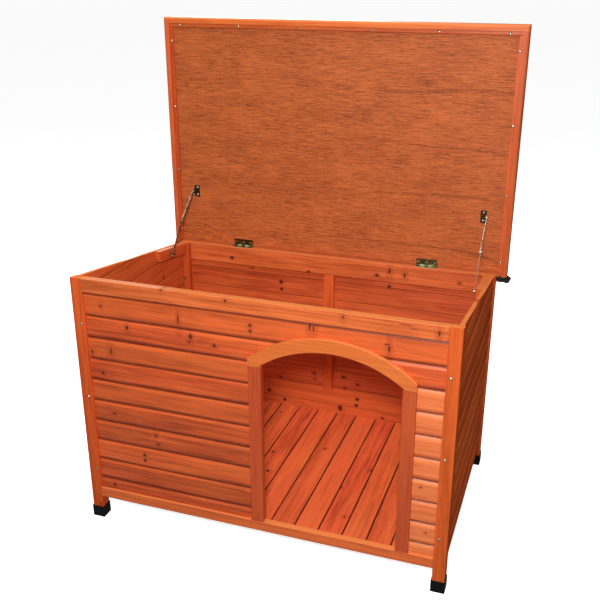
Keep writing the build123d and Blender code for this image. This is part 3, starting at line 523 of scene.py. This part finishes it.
# How a node's name starts, and what it wears. The first start that fits counts.
WEAR = (
    ("leg_", wood["upright"]),
    ("corner_batten_", wood["upright"]),
    ("back_centre_stile", wood["upright"]),
    ("foot_cap_", cap_material),
    ("front_top_rail", wood["rail"]),
    ("back_top_rail", wood["back_rail"]),
    ("front_sill", wood["across"]),
    ("door_jamb_", wood["jamb"]),
    ("door_arch", wood["arch"]),
    ("front_boards_right", wood["front_right"]),
    ("front_board", wood["front"]),
    ("side_boards_", wood["side"]),
    ("back_boards", wood["back"]),
    ("stay_cleat_", wood["cleat"]),
    ("floor_boards", wood["floor"]),
    ("floor_bearers", wood["across"]),
    ("floor_ledgers", wood["cleat"]),
    ("lid_fascia_front", wood["lid_across"]),
    ("lid_fascia_", wood["lid_upright"]),
    ("lid_batten_front", wood["lid_across"]),
    ("lid_batten_", wood["lid_upright"]),
    ("lid_lining", lining_material),
    ("lid_deck", wood["deck"]),
    ("lid_rear_rail", wood["deck"]),
    ("lid_roofing_felt", felt_material),
    ("lid_screws", bright_zinc),
    ("hinge_pins", bright_zinc),
    ("hinge_rail_leaves", pale_zinc),
    ("hinge_", yellow_zinc),
    ("stay_lower_bracket_", yellow_zinc),
    ("stay_upper_bracket_", yellow_zinc),
    ("stay_lower_arm", arm_zinc),
    ("stay_upper_arm", arm_zinc),
    ("stay_", bright_zinc),
    ("corner_bolt", pale_zinc),
    ("cabinet_screws", bright_zinc),
)
SEED_STEP = 0.37

for position, (name, node) in enumerate(sorted(nodes.items())):
    material = next(material for start, material in WEAR if name.startswith(start))
    node.data.materials.clear()
    node.data.materials.append(material)
    low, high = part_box(name)
    node["middle"] = list((low + high) / 2)
    node["seed"] = SEED_STEP * (position + 1)


# ---- Felt sheet, turned under the lid's rear rail and pleated at its corners ----

FELT_THICKNESS = 0.002
TURN_RADIUS = 3 * FELT_THICKNESS
PATH_STEPS = 34
ROUND_STEPS = 6
STATIONS = 49
PLEAT_RINGS = 9
PLEAT_POINTS = 18


def crumple(x, y, z):
    """Small unevenness of a soft sheet, in metres."""
    broad = sin(7 * x + 4 * z) * cos(5 * z - 3 * x)
    fine = sin(61 * x + 13 * z) * sin(47 * z + 19 * y)
    return 0.00025 * broad + 0.00012 * fine


def felt_section(x, low, high):
    """Closed YZ loop of the sheet at one x: down the back of the lid and forward under the rail."""
    drop = low.z + TURN_RADIUS - high.z
    outer = [(high.y, high.z + drop * step / PATH_STEPS) for step in range(PATH_STEPS + 1)]
    for step in range(1, ROUND_STEPS + 1):
        angle = pi / 2 * step / ROUND_STEPS
        outer.append((high.y - TURN_RADIUS * (1 - cos(angle)), low.z + TURN_RADIUS * (1 - sin(angle))))
    outer.append((low.y, low.z))
    inner = [
        (low.y, low.z + FELT_THICKNESS),
        (high.y - TURN_RADIUS, low.z + FELT_THICKNESS),
        (high.y - FELT_THICKNESS, low.z + TURN_RADIUS),
        (high.y - FELT_THICKNESS, high.z),
    ]
    wavy = [(y + crumple(x, y, z) - 0.0003, z) for y, z in outer[:PATH_STEPS]]
    return wavy + outer[PATH_STEPS:] + inner


def loft(vertices, faces, rings):
    """Skin over closed rings of points, with both ends filled."""
    first = len(vertices)
    count = len(rings[0])
    for ring in rings:
        vertices.extend(ring)
    for row in range(len(rings) - 1):
        for point in range(count):
            here = first + row * count + point
            after = first + row * count + (point + 1) % count
            faces.append((here, after, after + count, here + count))
    faces.append(tuple(range(first + count - 1, first - 1, -1)))
    last = first + (len(rings) - 1) * count
    faces.append(tuple(range(last, last + count)))


def pleat(side, middle, size, low, high):
    """One tucked fold at a lower corner: a squashed roll with creases, along Y."""
    rings = []
    for ring in range(PLEAT_RINGS):
        along = 2 * ring / (PLEAT_RINGS - 1) - 1
        swell = 0.55 + 0.45 * (1 - along ** 4)
        points = []
        for point in range(PLEAT_POINTS):
            angle = 2 * pi * point / PLEAT_POINTS
            crease = 1 + 0.10 * sin(3 * angle + 2.2 * along) + 0.05 * sin(7 * angle - along)
            x = side * (middle[0] + size[0] * swell * crease * cos(angle))
            z = middle[1] + size[1] * swell * crease * sin(angle)
            points.append((x, (low + high) / 2 + along * (high - low) / 2, z))
        rings.append(points)
    return rings


def new_object(name, skins, material):
    """Scene object made of one or more lofted skins, with its faces turned outwards."""
    vertices, faces = [], []
    for rings in skins:
        loft(vertices, faces, rings)
    mesh = bpy.data.meshes.new(name)
    mesh.from_pydata(vertices, [], faces)
    mesh.materials.append(material)
    repair = bmesh.new()
    repair.from_mesh(mesh)
    bmesh.ops.recalc_face_normals(repair, faces=repair.faces)
    repair.to_mesh(mesh)
    repair.free()
    made = bpy.data.objects.new(name, mesh)
    bpy.context.scene.collection.objects.link(made)
    return made


low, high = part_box("lid_roofing_felt")
felt_sections = []
for station in range(STATIONS):
    x = low.x + (high.x - low.x) * station / (STATIONS - 1)
    felt_sections.append([(x, y, z) for y, z in felt_section(x, low, high)])
felt_skins = [felt_sections]
inner_fold = (high.x - 0.0205, low.z + 0.0100)
outer_fold = (high.x - 0.0015, low.z + 0.0085)
for side in (-1, 1):
    felt_skins.append(pleat(side, inner_fold, (0.0125, 0.0115), low.y - 0.004, high.y - 0.001))
    felt_skins.append(pleat(side, outer_fold, (0.0130, 0.0115), low.y - 0.003, high.y - 0.0005))
felt = new_object("felt_sheet", felt_skins, felt_material)
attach(felt, "lid")
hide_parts("lid_roofing_felt")


# ---- Tails of the elbow rivets, on the inner face of the upper arms ----

# Radius in metres, and distance in arm thicknesses, from the shank's end to the crown of the tail.
TAIL_PROFILE = ((0.0022, 0.0), (0.0022, 1.0), (0.0044, 1.0), (0.0044, 1.4), (0.0036, 1.8), (0.0018, 2.1))
TAIL_POINTS = 20

for side, inwards in (("left", 1), ("right", -1)):
    rivet_low, rivet_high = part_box(f"stay_elbow_rivet_{side}")
    arm_low, arm_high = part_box(f"stay_upper_arm_{side}")
    centre = (rivet_low + rivet_high) / 2
    thickness = arm_high.x - arm_low.x
    outer_face = arm_low.x if inwards > 0 else arm_high.x
    rings = []
    for radius, through in TAIL_PROFILE:
        ring = []
        x = outer_face + inwards * thickness * through
        for point in range(TAIL_POINTS):
            angle = 2 * pi * point / TAIL_POINTS
            ring.append((x, centre.y + radius * cos(angle), centre.z + radius * sin(angle)))
        rings.append(ring)
    tail = new_object(f"elbow_rivet_tail_{side}", [rings], bright_zinc)
    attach(tail, f"stay_{side}_upper")


# ---- Camera, light and floor ----

camera_data = bpy.data.cameras.new("camera")
camera_data.sensor_width = 36.0
camera_data.lens = 50.76
camera = bpy.data.objects.new("camera", camera_data)
camera.location = (0.7784, -2.2333, 1.6)
camera.rotation_euler = (radians(68.18), 0.0, radians(19.09))
bpy.context.scene.collection.objects.link(camera)
bpy.context.scene.camera = camera

WHITE = (1.0, 1.0, 1.0, 1.0)
AMBIENT = 0.12
FLOOR_REACH = 60.0
FLOOR_GLOW = 0.85


def softbox(name, location, target, size, watts, colour=(1.0, 1.0, 1.0)):
    """Square area light that looks at a point."""
    data = bpy.data.lights.new(name, "AREA")
    data.size = size
    data.energy = watts
    data.color = colour
    lamp = bpy.data.objects.new(name, data)
    lamp.location = location
    lamp.rotation_euler = (Vector(target) - Vector(location)).to_track_quat("-Z", "Y").to_euler()
    bpy.context.scene.collection.objects.link(lamp)


def studio_world():
    """Dim even light on the object, in front of a white background."""
    world = bpy.data.worlds.new("studio")
    world.use_nodes = True
    tree = world.node_tree
    ambient = tree.nodes["Background"]
    ambient.inputs["Color"].default_value = WHITE
    ambient.inputs["Strength"].default_value = AMBIENT
    backdrop = tree.nodes.new("ShaderNodeBackground")
    backdrop.inputs["Color"].default_value = WHITE
    path = tree.nodes.new("ShaderNodeLightPath")
    blend = tree.nodes.new("ShaderNodeMixShader")
    tree.links.new(path.outputs["Is Camera Ray"], blend.inputs[0])
    tree.links.new(ambient.outputs[0], blend.inputs[1])
    tree.links.new(backdrop.outputs[0], blend.inputs[2])
    tree.links.new(blend.outputs[0], tree.nodes["World Output"].inputs["Surface"])
    bpy.context.scene.world = world


def studio_floor():
    """Wide pale floor that the camera sees as white, and that throws little light back."""
    shader = Shader("studio_floor")
    seen_directly = shader.node("LightPath", output="Is Camera Ray")
    colour = shader.mix(seen_directly, (0.3, 0.3, 0.3, 1.0), (0.9, 0.9, 0.9, 1.0))
    shader.put(shader.surface["Base Color"], colour)
    shader.surface["Roughness"].default_value = 0.9
    shader.surface["Specular IOR Level"].default_value = 0.0
    shader.surface["Emission Color"].default_value = WHITE
    shader.put(shader.surface["Emission Strength"], shader.times(seen_directly, FLOOR_GLOW))
    mesh = bpy.data.meshes.new("studio_floor")
    signs = ((-1, -1), (1, -1), (1, 1), (-1, 1))
    mesh.from_pydata([(x * FLOOR_REACH, y * FLOOR_REACH, 0.0) for x, y in signs], [], [(0, 1, 2, 3)])
    mesh.materials.append(shader.material)
    floor = bpy.data.objects.new("studio_floor", mesh)
    bpy.context.scene.collection.objects.link(floor)


softbox("key", (0.66, -2.2, 1.86), (0.05, 0.0, 0.6), 0.3, 56.0)
softbox("right", (3.0, -0.5, 2.4), (0.5, 0.0, 0.7), 1.0, 12.0, (1.0, 0.8, 0.62))
softbox("top", (-0.6, -0.3, 3.6), (0.0, 0.0, 0.6), 2.4, 48.0)
softbox("rear", (-1.4, 3.6, 2.4), (0.0, 0.0, 0.5), 1.6, 75.0)
studio_world()
studio_floor()

bpy.context.scene.view_settings.view_transform = "Standard"
bpy.context.scene.view_settings.look = "None"
